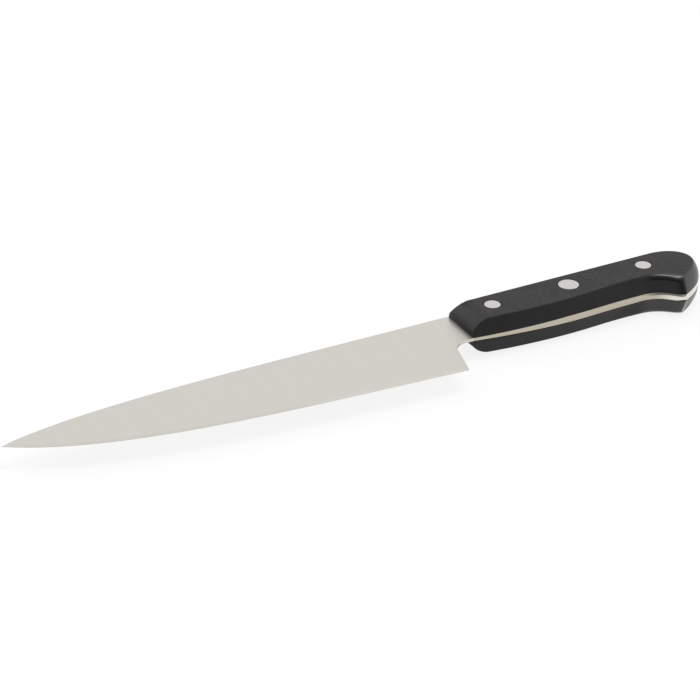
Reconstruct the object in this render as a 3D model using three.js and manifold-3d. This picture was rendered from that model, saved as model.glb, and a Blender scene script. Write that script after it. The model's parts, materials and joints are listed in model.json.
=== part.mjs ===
// A cook's knife: a ground blade whose full tang lies between two moulded handle scales, held by three
// two-piece rivets. Millimetres, +Z up. The knife lies on its right side, with the tip towards -X, the
// spine towards +Y and the cutting edge towards -Y. Plan sizes start at the front rivet's axis, and
// heights start at the middle plane of the steel.

import * as THREE from "three";
import { mergeVertices } from "three/addons/utils/BufferGeometryUtils.js";
import Module from "manifold-3d";

const wasm = await Module();
wasm.setup();

// Blade outline
const tipReach = 227.8; // front rivet to the tip
const tipDrop = 11.3; // spine line down to the tip
const spineHeight = 10.75; // rivet line up to the spine
const spineStraight = 81; // front rivet to where the spine starts to fall
const spineFallLead = 63.5; // pull of the straight spine on the fall's curve
const spineTipLead = 33; // pull of the tip on the fall's curve, along the blade
const spineTipRise = 9.9; // and across it
const heelReach = 30.1; // front rivet to the heel
const heelDrop = 32.35; // rivet line down to the edge at the heel
const heelRadius = 1;
const heelSetBack = 5.5; // lean of the heel line towards the handle
const choilRadius = 7.6; // hollow between the heel line and the neck
const edgeHeelLead = 78; // pull of the heel on the cutting edge's curve, along the blade
const edgeHeelRise = 4.2; // and across it
const edgeTipLead = 39.5; // pull of the tip on the cutting edge's curve, along the blade
const edgeTipDepth = 27.2; // and across it

// Steel thickness
const tangThickness = 3;
const spineThickness = 2.3; // at the front of the scales
const tipThickness = 0.7;
const shoulderThickness = 0.5; // where the grind meets the sharpened bevel
const bevelHeight = 1.4; // width of the sharpened bevel
const bevelTipShare = 0.25; // most of the blade's width that the bevel takes near the tip
const edgeThickness = 0.1;
const grindEnd = 31.5; // front rivet back to where the grind has run out into the tang

// Handle outline at the tang
const scaleFront = 15.1; // front rivet forward to the front end of the scales
const bellyFront = 10.4; // rivet line down to the belly at the front end
const bellyFull = 13.45; // the same at the fullest place
const bellyFullReach = 24.5;
const waistDrop = 11.7; // the same at the waist before the hook
const waistReach = 69.6;
const waistLead = 18.9; // pull of the fullest place and the waist on the curve between them
const hookReach = 85.75; // front rivet back to the hook's corner
const hookDrop = 20.1;
const hookRootLead = 10.5; // pull of the waist on the hook's curve
const hookToeLead = 4.95; // pull of the corner on the hook's curve, along the handle
const hookToeRise = 0.8; // and across it
const buttLead = 31.4; // pull of the corner on the butt's curve
const buttAngle = 27.9; // slope of the butt at the hook's corner, in degrees
const crownLead = 15.4; // pull of the spine on the butt's curve
const spineEnd = 83.8; // front rivet back to where the spine turns into the butt

// How far each wall of a scale leans in between the tang and the scale's outer face
const spineDraft = 2.7;
const bellyFrontDraft = 1.9;
const bellyFullDraft = 2.15;
const waistDraft = 2.7;
const hookDraft = 3.95;
const hookShift = 0.95; // the hook's corner moves back by this much
const buttDraft = 10.1; // loss of the butt's lead

// Scale thickness and ends
const handleFrontThickness = 16.7; // over both scales, at their front end
const handleRearThickness = 18.6; // the same at the hook's corner
const rampRun = 6.5; // length of the rounded ramp at the front end
const rampRise = 5.7;
const rampFootAngle = 68; // slope of the ramp at its foot, in degrees
const rampCrestAngle = 14; // and at the outer face
const faceRound = 0.6; // rounding round the outer face
const beddingGap = 0.25; // film between a scale and the tang

// Rivets
const rivetSpacing = 38;
const outerHeadRadius = 3.55;
const middleHeadRadius = 4.55;
const headThickness = 1.5;
const headChamfer = 0.2;
const headRecess = 0.06; // outer side of a head below the scale's face
const headClearance = 0.12; // round a head, and under it
const sleeveRadius = 2.6;
const pinRadius = 1.6;
const pinClearance = 0.1; // between the pin and the sleeve's bore
const pinEndGap = 0.4; // between the ends of the halves and what they face
const shankClearance = 0.15; // round a sleeve in the scales and the tang

// Fineness of the facets
const curveSteps = 20;
const curveSamples = 160; // along a blade curve, where its height is looked up
const bladeStations = 30;
const stationCrowding = 1.5; // how much closer the stations lie towards the tip
const rampSteps = 7;
const roundSides = 40;
const cutMargin = 1; // reach of a cutting body past what it cuts
const weldDistance = 1e-5; // corners this close are one corner

const { lerp, clamp, degToRad } = THREE.MathUtils;
const share = (from, to, value) => clamp((value - from) / (to - from), 0, 1);

// Solids and booleans

function solidOf(geometry) {
  const bare = geometry.clone();
  bare.deleteAttribute("normal");
  bare.deleteAttribute("uv");
  const merged = mergeVertices(bare, weldDistance);
  const vertProperties = new Float32Array(merged.attributes.position.array);
  const triVerts = new Uint32Array(merged.index.array);
  return new wasm.Manifold(new wasm.Mesh({ numProp: 3, vertProperties, triVerts }));
}

function geometryOf(solid) {
  const mesh = solid.getMesh();
  const geometry = new THREE.BufferGeometry();
  geometry.setAttribute("position", new THREE.BufferAttribute(mesh.vertProperties, 3));
  geometry.setIndex(new THREE.BufferAttribute(mesh.triVerts, 1));
  geometry.computeVertexNormals();
  return geometry;
}

// A skin over rings that all have as many points, closed by a flat cap on the first and the last ring.
// Each ring runs anticlockwise as seen from the last ring's side, and flatten drops a point into its plane.
function loft(rings, flatten) {
  const count = rings[0].length;
  const index = [];
  for (let ring = 0; ring + 1 < rings.length; ring += 1) {
    for (let i = 0; i < count; i += 1) {
      const next = (i + 1) % count;
      const [a, b] = [ring * count + i, ring * count + next];
      const [c, d] = [b + count, a + count];
      index.push(a, b, c, a, c, d);
    }
  }
  const lastRing = (rings.length - 1) * count;
  for (const [a, b, c] of THREE.ShapeUtils.triangulateShape(rings[0].map(flatten), [])) {
    index.push(c, b, a);
  }
  for (const [a, b, c] of THREE.ShapeUtils.triangulateShape(rings.at(-1).map(flatten), [])) {
    index.push(lastRing + a, lastRing + b, lastRing + c);
  }
  const geometry = new THREE.BufferGeometry().setFromPoints(rings.flat());
  geometry.setIndex(index);
  return geometry;
}

function mirroredInZ(geometry) {
  const copy = geometry.clone().scale(1, 1, -1);
  const index = Array.from(copy.index.array);
  for (let i = 0; i < index.length; i += 3) {
    [index[i + 1], index[i + 2]] = [index[i + 2], index[i + 1]];
  }
  copy.setIndex(index);
  copy.computeVertexNormals();
  return copy;
}

// A body turned round the Z axis from a profile of [radius, height] pairs
function turned(profile) {
  const points = profile.map(([radius, height]) => new THREE.Vector2(radius, height));
  return new THREE.LatheGeometry(points, roundSides).rotateX(Math.PI / 2);
}

// Rivet places along the handle
const rivets = [
  { name: "front_rivet", x: 0, headRadius: outerHeadRadius },
  { name: "middle_rivet", x: rivetSpacing, headRadius: middleHeadRadius },
  { name: "rear_rivet", x: 2 * rivetSpacing, headRadius: outerHeadRadius },
];

// Height of a scale's outer face above the middle plane
function faceHeight(x) {
  const slope = (handleRearThickness - handleFrontThickness) / (hookReach + scaleFront);
  return (handleFrontThickness + slope * (x + scaleFront)) / 2;
}

// Blade curves, both from the tip towards the handle
const tip = new THREE.Vector2(-tipReach, spineHeight - tipDrop);
const heel = new THREE.Vector2(-heelReach, -heelDrop);

const edgeCurve = new THREE.CubicBezierCurve(
  tip,
  new THREE.Vector2(tip.x + edgeTipLead, tip.y - edgeTipDepth),
  new THREE.Vector2(heel.x - heelRadius - edgeHeelLead, heel.y + edgeHeelRise),
  new THREE.Vector2(heel.x - heelRadius, heel.y),
);

const spineCurve = new THREE.CubicBezierCurve(
  tip,
  new THREE.Vector2(tip.x + spineTipLead, tip.y + spineTipRise),
  new THREE.Vector2(-spineStraight - spineFallLead, spineHeight),
  new THREE.Vector2(-spineStraight, spineHeight),
);

// Height of a blade curve at a place along the knife
function heightOn(curve, x) {
  const points = curve.getPoints(curveSamples);
  const after = points.findIndex((point) => point.x >= x);
  if (after < 1) {
    return after === 0 ? points[0].y : points.at(-1).y;
  }
  const [low, high] = [points[after - 1], points[after]];
  return lerp(low.y, high.y, share(low.x, high.x, x));
}

// Rounds the corner of a path between the point it came from and the point it goes to
function roundCorner(path, from, corner, to, radius) {
  const back = from.clone().sub(corner).normalize();
  const ahead = to.clone().sub(corner).normalize();
  const halfAngle = Math.acos(back.dot(ahead)) / 2;
  const middle = back.clone().add(ahead).normalize();
  const centre = corner.clone().addScaledVector(middle, radius / Math.sin(halfAngle));
  const start = corner.clone().addScaledVector(back, radius / Math.tan(halfAngle)).sub(centre);
  const end = corner.clone().addScaledVector(ahead, radius / Math.tan(halfAngle)).sub(centre);
  const turnsRight = back.cross(ahead) > 0;
  path.absarc(centre.x, centre.y, radius, start.angle(), end.angle(), turnsRight);
}

// Depth of the belly between the front end and its fullest place, a parabola with its crown there
function bellyDepth(x, lean) {
  const front = bellyFront - bellyFrontDraft * lean;
  const full = bellyFull - bellyFullDraft * lean;
  const away = (bellyFullReach - x) / (bellyFullReach + scaleFront);
  return full - (full - front) * away * away;
}

// Carries a path from the belly's front along the belly, round the hook and the butt to the spine.
// lean is 0 at the tang and 1 at the scale's outer face.
function followHandle(path, front, lean) {
  const full = -(bellyFull - bellyFullDraft * lean);
  const waist = -(waistDrop - waistDraft * lean);
  const corner = new THREE.Vector2(hookReach + hookShift * lean, -(hookDrop - hookDraft * lean));
  const spine = spineHeight - spineDraft * lean;
  const lead = buttLead - buttDraft * lean;
  const buttX = corner.x + lead * Math.cos(degToRad(buttAngle));
  const buttY = corner.y + lead * Math.sin(degToRad(buttAngle));
  const fullToWaist = [bellyFullReach + waistLead, full, waistReach - waistLead, waist, waistReach, waist];
  path.quadraticCurveTo((front + bellyFullReach) / 2, full, bellyFullReach, full);
  path.bezierCurveTo(...fullToWaist);
  path.bezierCurveTo(
    waistReach + hookRootLead,
    waist,
    corner.x - hookToeLead,
    corner.y + hookToeRise,
    corner.x,
    corner.y,
  );
  path.bezierCurveTo(buttX, buttY, spineEnd + crownLead, spine, spineEnd, spine);
}

// Plan outline of the steel, with its rivet holes
function steelOutline() {
  const shape = new THREE.Shape();
  const neck = new THREE.Vector2(-scaleFront, -bellyDepth(-scaleFront, 0));
  const corner = new THREE.Vector2(heel.x + heelSetBack, neck.y);
  shape.moveTo(tip.x, tip.y);
  shape.bezierCurveTo(
    edgeCurve.v1.x,
    edgeCurve.v1.y,
    edgeCurve.v2.x,
    edgeCurve.v2.y,
    edgeCurve.v3.x,
    edgeCurve.v3.y,
  );
  roundCorner(shape, edgeCurve.v3, heel, corner, heelRadius);
  roundCorner(shape, heel, corner, neck, choilRadius);
  shape.lineTo(neck.x, neck.y);
  followHandle(shape, neck.x, 0);
  shape.lineTo(spineCurve.v3.x, spineCurve.v3.y);
  shape.bezierCurveTo(
    spineCurve.v2.x,
    spineCurve.v2.y,
    spineCurve.v1.x,
    spineCurve.v1.y,
    tip.x,
    tip.y,
  );
  for (const { x } of rivets) {
    shape.holes.push(new THREE.Path().absarc(x, 0, sleeveRadius + shankClearance, 0, 2 * Math.PI));
  }
  return shape;
}

// Section of the ground steel across the knife: a sharpened edge, a long flat grind up to the spine, and
// in the handle the grind running out into the parallel tang. extra thickens it on both sides.
function grindSection(x, extra) {
  const runOut = share(-scaleFront, grindEnd, x);
  const taper = share(-tipReach, -scaleFront, x);
  const edgeY = heightOn(edgeCurve, x);
  const spineY = heightOn(spineCurve, x);
  const bevel = Math.min(bevelHeight, (spineY - edgeY) * bevelTipShare);
  const atShoulder = lerp(shoulderThickness, tangThickness, runOut);
  const atSpine = lerp(lerp(tipThickness, spineThickness, taper), tangThickness, runOut);
  const slope = (atSpine - atShoulder) / Math.max(spineY - edgeY - bevel, bevelHeight);
  const overhang = (bevel * edgeThickness) / (shoulderThickness - edgeThickness);
  const shoulder = atShoulder / 2 + extra;
  const top = (atSpine + slope * cutMargin) / 2 + extra;
  return [
    new THREE.Vector3(x, edgeY - overhang - extra, 0),
    new THREE.Vector3(x, edgeY + bevel, -shoulder),
    new THREE.Vector3(x, spineY + cutMargin, -top),
    new THREE.Vector3(x, spineY + cutMargin, top),
    new THREE.Vector3(x, edgeY + bevel, shoulder),
  ];
}

// The whole ground body, before its outline is cut
function grindBody(extra) {
  const places = [];
  for (let i = 0; i < bladeStations; i += 1) {
    places.push(lerp(-tipReach, -heelReach, (i / bladeStations) ** stationCrowding));
  }
  const buttEnd = hookReach + buttLead;
  places.unshift(-tipReach - cutMargin);
  places.push(-heelReach, -scaleFront, grindEnd, buttEnd + cutMargin);
  const rings = places.map((x) => grindSection(x, extra));
  return loft(rings, (point) => new THREE.Vector2(point.y, point.z));
}

function bladeAndTang() {
  const depth = tangThickness + 2 * cutMargin;
  const blank = new THREE.ExtrudeGeometry(steelOutline(), { depth, bevelEnabled: false, curveSegments: curveSteps });
  blank.translate(0, 0, -depth / 2);
  return geometryOf(solidOf(blank).intersect(solidOf(grindBody(0))));
}

// Side profile of the ramp at a scale's front end, from its foot to the outer face
function rampCurve() {
  const [foot, crest] = [degToRad(rampFootAngle), degToRad(rampCrestAngle)];
  const along = rampRun * Math.sin(crest) - rampRise * Math.cos(crest);
  const reach = along / Math.sin(crest - foot);
  return new THREE.QuadraticBezierCurve(
    new THREE.Vector2(0, 0),
    new THREE.Vector2(reach * Math.cos(foot), reach * Math.sin(foot)),
    new THREE.Vector2(rampRun, rampRise),
  );
}

// Outline of a scale at one level. rise is its height between the tang's surface (0) and the outer face (1),
// front its front end along the knife, and inset a further step inwards that rounds the outer face.
function scaleRing(rise, front, inset) {
  const path = new THREE.Path();
  path.moveTo(front, spineHeight - spineDraft * rise);
  path.lineTo(front, -bellyDepth(front, rise));
  followHandle(path, front, rise);
  const points = path.getPoints(curveSteps);
  const count = points.length;
  return points.map((point, i) => {
    const along = points[(i + 1) % count].clone().sub(points[(i + count - 1) % count]).normalize();
    const x = point.x - (i > 1 ? inset * along.y : 0);
    const y = point.y + inset * along.x;
    return new THREE.Vector3(x, y, lerp(tangThickness / 2, faceHeight(x), rise));
  });
}

function leftScale() {
  const ramp = rampCurve();
  const scaleHeight = faceHeight(-scaleFront) - tangThickness / 2;
  const base = scaleRing(0, -scaleFront, 0);
  const rings = [base.map((point) => new THREE.Vector3(point.x, point.y, 0)), base];
  for (let i = 0; i <= rampSteps; i += 1) {
    const { x, y } = ramp.getPoint(i / rampSteps);
    const rise = 1 - (rampRise - y) / scaleHeight;
    const depth = (1 - rise) * scaleHeight;
    const inset = Math.max(faceRound - depth, 0) ** 2 / (2 * faceRound);
    rings.push(scaleRing(rise, x - scaleFront, inset));
  }
  let scale = solidOf(loft(rings, (point) => new THREE.Vector2(point.x, point.y)));
  scale = scale.subtract(solidOf(grindBody(beddingGap)));
  for (const { x, headRadius } of rivets) {
    const top = faceHeight(x);
    const seat = top - headRecess - headThickness - headClearance;
    const hole = sleeveRadius + shankClearance;
    const bore = turned([
      [0, -cutMargin],
      [hole, -cutMargin],
      [hole, seat],
      [headRadius + headClearance, seat],
      [headRadius + headClearance, top + cutMargin],
      [0, top + cutMargin],
    ]);
    scale = scale.subtract(solidOf(bore.translate(x, 0, 0)));
  }
  return geometryOf(scale);
}

// Rivet half whose head lies in the left scale and whose pin goes into the sleeve
function rivetPin(x, headRadius) {
  const top = faceHeight(x) - headRecess;
  const seat = top - headThickness;
  const end = -seat + pinEndGap;
  return turned([
    [0, end],
    [pinRadius - headChamfer, end],
    [pinRadius, end + headChamfer],
    [pinRadius, seat],
    [headRadius, seat],
    [headRadius, top - headChamfer],
    [headRadius - headChamfer, top],
    [0, top],
  ]);
}

// Rivet half whose head lies in the right scale and whose sleeve reaches up through the handle
function rivetSleeve(x, headRadius) {
  const top = faceHeight(x) - headRecess;
  const seat = top - headThickness;
  const bore = pinRadius + pinClearance;
  const mouth = seat - pinEndGap;
  return turned([
    [0, -top],
    [headRadius - headChamfer, -top],
    [headRadius, headChamfer - top],
    [headRadius, -seat],
    [sleeveRadius, -seat],
    [sleeveRadius, mouth],
    [bore, mouth],
    [bore, -seat],
    [0, -seat],
  ]);
}

// Assembly
const knife = new THREE.Group();

function addPiece(name, geometry, finish) {
  const mesh = new THREE.Mesh(geometry, new THREE.MeshStandardMaterial(finish));
  mesh.name = name;
  knife.add(mesh);
  return mesh;
}

const satinSteel = { color: 0xd1cec9, roughness: 0.35, metalness: 1 };
const blackPolymer = { color: 0x2b2a2b, roughness: 0.55, metalness: 0 };
const rivetSteel = { color: 0xcac8c6, roughness: 0.3, metalness: 1 };

const scale = leftScale();
addPiece("blade_and_tang", bladeAndTang(), satinSteel);
addPiece("left_handle_scale", scale, blackPolymer);
addPiece("right_handle_scale", mirroredInZ(scale), blackPolymer);
for (const { name, x, headRadius } of rivets) {
  addPiece(`${name}_pin`, rivetPin(x, headRadius), rivetSteel).position.x = x;
  addPiece(`${name}_sleeve`, rivetSleeve(x, headRadius), rivetSteel).position.x = x;
}

// The origin lies under the middle of the knife, on the surface that it rests on
const box = new THREE.Box3().setFromObject(knife);
const centre = box.getCenter(new THREE.Vector3());
knife.position.set(-centre.x, -centre.y, -box.min.z);

export default knife;
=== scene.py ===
"""Cook's knife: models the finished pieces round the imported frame, mixes their finishes and sets a studio."""

import bisect
import json
import math

import bmesh
import bpy
from bpy.props import FloatProperty, FloatVectorProperty, PointerProperty
from bpy.types import Operator, Panel, PropertyGroup
from mathutils import Matrix, Vector

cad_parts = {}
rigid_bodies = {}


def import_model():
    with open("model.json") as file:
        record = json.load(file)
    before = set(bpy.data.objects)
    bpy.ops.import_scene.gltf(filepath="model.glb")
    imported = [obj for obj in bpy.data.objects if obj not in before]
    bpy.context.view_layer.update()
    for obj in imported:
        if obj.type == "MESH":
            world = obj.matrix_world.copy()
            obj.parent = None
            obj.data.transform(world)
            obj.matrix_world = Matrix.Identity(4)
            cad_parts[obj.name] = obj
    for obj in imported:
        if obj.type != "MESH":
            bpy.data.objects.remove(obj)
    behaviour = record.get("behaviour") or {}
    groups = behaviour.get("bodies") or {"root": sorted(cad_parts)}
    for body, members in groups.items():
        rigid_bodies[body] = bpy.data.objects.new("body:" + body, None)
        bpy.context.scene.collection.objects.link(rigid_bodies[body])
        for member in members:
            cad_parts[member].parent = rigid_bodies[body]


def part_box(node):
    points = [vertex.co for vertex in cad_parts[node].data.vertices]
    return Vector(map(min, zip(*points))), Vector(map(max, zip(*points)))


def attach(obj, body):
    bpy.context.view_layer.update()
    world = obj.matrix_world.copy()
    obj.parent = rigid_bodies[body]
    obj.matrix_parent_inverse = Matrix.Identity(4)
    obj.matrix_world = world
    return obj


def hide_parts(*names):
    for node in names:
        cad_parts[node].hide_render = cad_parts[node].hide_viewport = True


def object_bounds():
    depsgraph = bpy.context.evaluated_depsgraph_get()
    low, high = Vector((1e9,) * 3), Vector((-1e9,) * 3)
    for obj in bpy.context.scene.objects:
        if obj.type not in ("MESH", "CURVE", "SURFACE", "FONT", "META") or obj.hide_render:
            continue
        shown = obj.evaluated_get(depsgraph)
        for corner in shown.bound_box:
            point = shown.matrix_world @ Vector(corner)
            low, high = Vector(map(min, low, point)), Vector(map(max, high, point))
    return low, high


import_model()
cad_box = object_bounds()

bl_info = {
    "name": "Cook's Knife",
    "version": (1, 0, 0),
    "blender": (4, 5, 0),
    "location": "3D View > Sidebar > Knife",
    "description": "Models a cook's knife round its CAD frame, with its finishes and a studio",
    "category": "Object",
}

# Plan sizes start at the front rivet's axis, and heights at the middle plane of the steel
RIVET_LOW, RIVET_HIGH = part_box("front_rivet_pin")
STEEL_LOW, STEEL_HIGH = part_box("blade_and_tang")
ORIGIN = Vector((
    (RIVET_LOW.x + RIVET_HIGH.x) / 2,
    (RIVET_LOW.y + RIVET_HIGH.y) / 2,
    (STEEL_LOW.z + STEEL_HIGH.z) / 2,
))
MM = 0.001

# Fineness of the meshes
EDGE_STEPS = 110
TIP_CROWDING = 1.6
SPINE_STEPS = 160
CURVE_STEPS = 30
BUTT_STEPS = 64
ARC_STEPS = 8
CHOIL_STEPS = 24
HEEL_STEPS = 14
FLANK_ROWS = 6
RIM_ROWS = 4
RAMP_STEPS = 12
RAMP_HALVINGS = 40
ROUND_SIDES = 72
ROUND_STEPS = 6
HEAD_STEPS = 4
CORNER_STEPS = 4
SPINE_RUN_STEPS = 36
WALL_LEVELS = (0.35, 0.7)
LEAST_LEVEL = 0.012 * MM
LEAST_HEIGHT = 0.04 * MM
LEAST_STEP = 1e-6
MERGE_DISTANCE = 1e-7
SMOOTH_ANGLE = math.radians(30)

# Proportions of the steel: the most that a bevel and a rim take of its height, and its thinness at the point
BEVEL_SHARE = 1 / 4
RIM_SHARE = 1 / 8
POINT_SHARE = 0.1

# Where the rim of the tang changes, from the waist and from the hook's corner
CROWN_BLEND = 6 * MM
CORNER_BLEND = 1 * MM
PROUD_START = -4 * MM
PROUD_FULL = 6 * MM
PROUD_END = -5 * MM

# Shares of the handle's curves where the hollow's rounding, the corner's pull and the butt's swell change
HOLLOW_BLEND = 0.4
PULL_START = 0.3
SWELL_FULL = 0.3
SWELL_FALL = 0.6
CORNER_ROOM = 1.1
CORNER_SIGHT = 3

# Normals that tell the scale's outer face and its ramp from its walls, and the rims inside flat ends
FACE_NORMAL = 0.9998
RAMP_TILT = -0.02
RAMP_SIDE = 0.35
FACE_RIM = 0.12 * MM
HEAD_RIM = 0.3 * MM

RIVETS = ("front", "middle", "rear")

# Ground steel: lines per metre along, across and through the knife, least and most roughness, relief
SATIN_BLADE = ((3600, 30, 30), 0.3, 0.42, 2e-6)
HONED_EDGE = ((5200, 200, 200), 0.2, 0.32, 1e-6)
GROUND_RIM = ((40, 3800, 3800), 0.16, 0.3, 2e-6)
SATIN_RIVET = ((3400, 60, 60), 0.28, 0.4, 2e-6)
STEEL_FINISHES = ("satin_blade", "satin_rivet")
STEEL_HAZE = 34
STEEL_RELIEF = 0.6
BROAD_LINES = 0.13
HONE_FADE = (-125 * MM, -80 * MM)
POLISH_INSET = 4 * MM

# Polymer: clouds and grains per metre, lines per metre, roughness, relief and coat
POLYMER_HAZE = 90
POLYMER_GRAIN = 1000
POLYMER_ROUGHNESS = (0.36, 0.54)
GRAIN_RELIEF = 6e-5
WALL_LINES = (1300, 30, 30)
WALL_RELIEF = 1e-5
POLYMER_RELIEF = 0.5
DULL_WALL = 0.4
GLOSSY_WALL = 0.2
LINE_ROUGHNESS = 0.1
COAT_ROUGHNESS = 0.2
HOLLOW_COAT = 0.62
HOLLOW_COAT_DEPTHS = (2.4 * MM, 1.2 * MM)
BUTT_COAT = (0.52, 0.14)
UNDER_COAT = 0.72

SENSOR_WIDTH = 36


# Settings


def length(name, millimetres, description):
    """A length, with its default in millimetres."""
    return FloatProperty(
        name=name, description=description, default=millimetres * MM, precision=5,
        subtype="DISTANCE", unit="LENGTH",
    )


def slope(name, degrees, description):
    """An angle, with its default in degrees."""
    return FloatProperty(
        name=name, description=description, default=math.radians(degrees),
        subtype="ANGLE", unit="ROTATION",
    )


def number(name, value, description):
    """A plain number that isn't negative."""
    return FloatProperty(name=name, description=description, default=value, min=0.0)


def direction(name, value, description):
    """A direction from the middle of the knife."""
    return FloatVectorProperty(name=name, description=description, default=value, size=3, subtype="XYZ")


def colour(name, value, description):
    """A linear colour."""
    return FloatVectorProperty(
        name=name, description=description, default=value, size=3, subtype="COLOR", min=0.0, max=1.0,
    )


class KnifeBlade(PropertyGroup):
    """Outline and thickness of the steel."""

    tip_reach: length("Tip reach", 227.8, "Front rivet to the tip")
    tip_drop: length("Tip drop", 11.3, "Spine line down to the tip")
    spine_height: length("Spine height", 10.749, "Rivet line up to the spine")
    spine_straight: length("Spine straight", 81, "Front rivet to where the spine starts to fall")
    spine_fall_lead: length("Spine fall lead", 63.5, "Pull of the straight spine on the fall's curve")
    spine_tip_lead: length("Spine tip lead", 33, "Pull of the tip on the fall's curve, along the blade")
    spine_tip_rise: length("Spine tip rise", 9.9, "Pull of the tip on the fall's curve, across the blade")
    heel_reach: length("Heel reach", 30.1, "Front rivet to the heel")
    heel_drop: length("Heel drop", 32.35, "Rivet line down to the edge at the heel")
    heel_radius: length("Heel radius", 1, "Rounding of the heel")
    heel_set_back: length("Heel set-back", 5.5, "Lean of the heel line towards the handle")
    choil_radius: length("Choil radius", 7.6, "Hollow between the heel line and the neck")
    edge_heel_lead: length("Edge heel lead", 78, "Pull of the heel on the cutting edge, along the blade")
    edge_heel_rise: length("Edge heel rise", 4.2, "Pull of the heel on the cutting edge, across the blade")
    edge_tip_lead: length("Edge tip lead", 39.5, "Pull of the tip on the cutting edge, along the blade")
    edge_tip_depth: length("Edge tip depth", 27.2, "Pull of the tip on the cutting edge, across the blade")
    tang: length("Tang", 3, "Thickness of the tang")
    spine: length("Spine", 2.3, "Thickness of the spine at the front of the scales")
    tip: length("Tip", 0.7, "Thickness of the spine at the tip")
    shoulder: length("Shoulder", 0.5, "Thickness where the grind meets the sharpened bevel")
    bevel: length("Bevel", 2.0, "Width of the sharpened bevel")
    edge: length("Edge", 0.1, "Thickness of the cutting edge")
    grind_end: length("Grind end", 31.5, "Front rivet back to where the grind has run out into the tang")
    eased: length("Eased corners", 0.1, "Rounding of the steel's long corners")
    rim_crown: length("Rim crown", 0.08, "Crown of the tang's rim along the belly and the spine")
    hook_crown: length("Hook crown", 0.45, "Crown of the tang's rim at the hook")
    butt_crown: length("Butt crown", 0.1, "Crown of the tang's rim at the butt")
    hook_proud: length("Hook proud", 0.55, "How far the tang stands out of the scales in the hook")
    point: length("Point", 6, "Height of the blade below which its section thins towards the point")


class KnifeHandle(PropertyGroup):
    """Outline of the handle at the tang, and how its walls lean in."""

    scale_front: length("Scale front", 15.1, "Front rivet forward to the front end of the scales")
    belly_front: length("Belly front", 10.4, "Rivet line down to the belly at the front end")
    belly_full: length("Belly full", 13.45, "Rivet line down to the belly at its fullest place")
    belly_reach: length("Belly reach", 24.5, "Front rivet back to the fullest place")
    waist_drop: length("Waist drop", 11.7, "Rivet line down to the waist before the hook")
    waist_reach: length("Waist reach", 69.6, "Front rivet back to the waist")
    waist_lead: length("Waist lead", 18.9, "Pull of the fullest place and the waist on their curve")
    hook_reach: length("Hook reach", 85.75, "Front rivet back to the hook's corner")
    hook_drop: length("Hook drop", 20.1, "Rivet line down to the hook's corner")
    hook_root_lead: length("Hook root lead", 10.5, "Pull of the waist on the hook's curve")
    hook_toe_lead: length("Hook toe lead", 4.95, "Pull of the corner on the hook's curve, along the handle")
    hook_toe_rise: length("Hook toe rise", 0.8, "Pull of the corner on the hook's curve, across the handle")
    butt_lead: length("Butt lead", 31.4, "Pull of the corner on the butt's curve")
    butt_angle: slope("Butt angle", 27.9, "Slope of the butt at the hook's corner")
    crown_lead: length("Crown lead", 15.36, "Pull of the spine on the butt's curve")
    spine_end: length("Spine end", 83.8, "Front rivet back to where the spine turns into the butt")
    spine_draft: length("Spine draft", 2.7, "Lean of the wall along the spine")
    belly_front_draft: length("Belly front draft", 1.9, "Lean of the wall at the belly's front")
    belly_full_draft: length("Belly draft", 2.15, "Lean of the wall at the belly's fullest place")
    waist_draft: length("Waist draft", 2.7, "Lean of the wall at the waist")
    hook_draft: length("Hook draft", 3.95, "Lean of the wall at the hook's corner")
    hook_shift: length("Hook shift", 1.45, "How far the hook's corner moves back at the outer face")
    butt_draft: length("Butt draft", 10.1, "Loss of the butt's lead at the outer face")
    butt_bulge: length("Butt bulge", 0.75, "Swell of the butt's wall between the tang and the outer face")
    front_thickness: length("Front thickness", 16.7, "Over both scales, at their front end")
    rear_thickness: length("Rear thickness", 18.59, "Over both scales, at the hook's corner")
    ramp_run: length("Ramp run", 9.3, "Length of the rounded ramp at the front end")
    ramp_rise: length("Ramp rise", 5.2, "Height of the ramp")
    ramp_foot: slope("Ramp foot", 70, "Slope of the ramp at its foot")
    ramp_foot_lead: length("Ramp foot lead", 0.6, "Pull of the foot on the ramp's curve")
    ramp_crest_lead: length("Ramp crest lead", 6, "Pull of the outer face on the ramp's curve")
    face_round: length("Face rounding", 0.45, "Rounding round the outer face")
    hook_round: length("Hook rounding", 2, "The same along the hollow of the hook")
    hook_swell: length("Hook swell", 1.5, "How much steeper the wall stands in the hook, at the outer face")
    corner_round: length("Corner rounding", 0.35, "Rounding of the corners beside the ramp")
    foot_ease: length("Foot easing", 0.1, "Rounding of the scale's edge at the tang")
    bedding_gap: length("Bedding gap", 0.12, "Film between a scale and the tang")
    bed_margin: length("Bed margin", 0.6, "Width of the rim that a scale beds on")
    bed_relief: length("Bed relief", 0.4, "Depth of the relief inside that rim")


class KnifeRivets(PropertyGroup):
    """Sizes of the two-piece rivets."""

    spacing: length("Spacing", 38, "From one rivet to the next")
    outer_head: length("Outer head", 3.55, "Radius of the front and rear heads")
    middle_head: length("Middle head", 4.55, "Radius of the middle head")
    head_thickness: length("Head thickness", 1.5, "Thickness of a head")
    head_round: length("Head rounding", 0.22, "Rounding of a head's rim")
    head_recess: length("Head recess", 0.06, "Outer side of a head below the scale's face")
    head_clearance: length("Head clearance", 0.16, "Round a head, and under it")
    sleeve: length("Sleeve", 2.6, "Radius of the sleeve half")
    pin: length("Pin", 1.6, "Radius of the pin half")
    pin_clearance: length("Pin clearance", 0.1, "Between the pin and the sleeve's bore")
    end_gap: length("End gap", 0.4, "Between the ends of the halves and what they face")
    shank_clearance: length("Shank clearance", 0.15, "Round a sleeve in the scales and the tang")


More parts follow.
